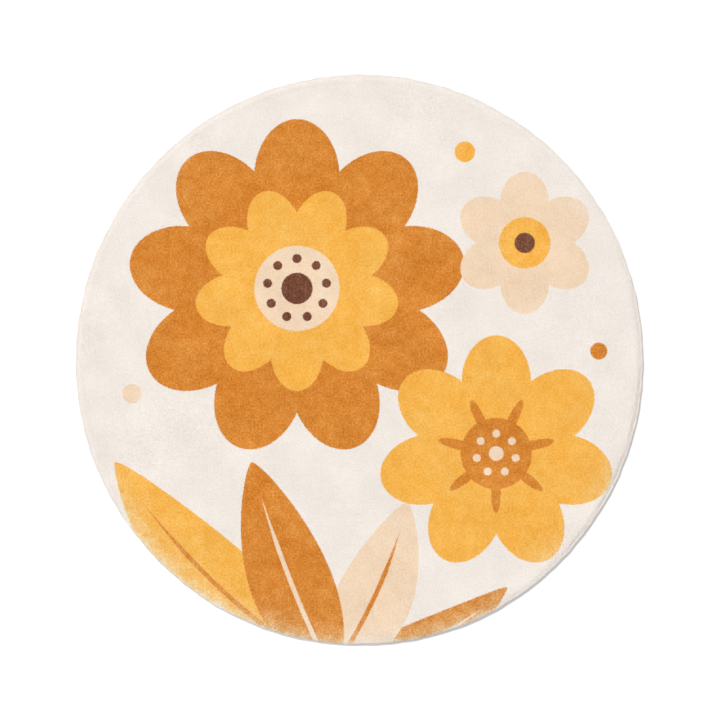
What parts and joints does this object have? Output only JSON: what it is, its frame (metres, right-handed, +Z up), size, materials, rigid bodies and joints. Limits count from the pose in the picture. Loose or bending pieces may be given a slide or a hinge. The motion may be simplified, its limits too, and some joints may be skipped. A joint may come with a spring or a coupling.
{
  "type": "round kids rug",
  "caption": "Flat round short-pile rug for a child's room, with a narrow turned hem round its edge and a flat underside that lies on the floor.",
  "frame": {"origin": "centre of the flat underside, on the floor", "axes": "+Z up out of the pile, +Y towards the top of the printed design, +X to its right"},
  "size_m": [1.1971, 1.2021, 0.009],
  "materials": {
    "pile": "matt short plush pile, off-white, printed in burnt orange, amber, beige and brown"
  },
  "bodies": {
    "root": {"rug": "pile"}
  },
  "joints": []
}
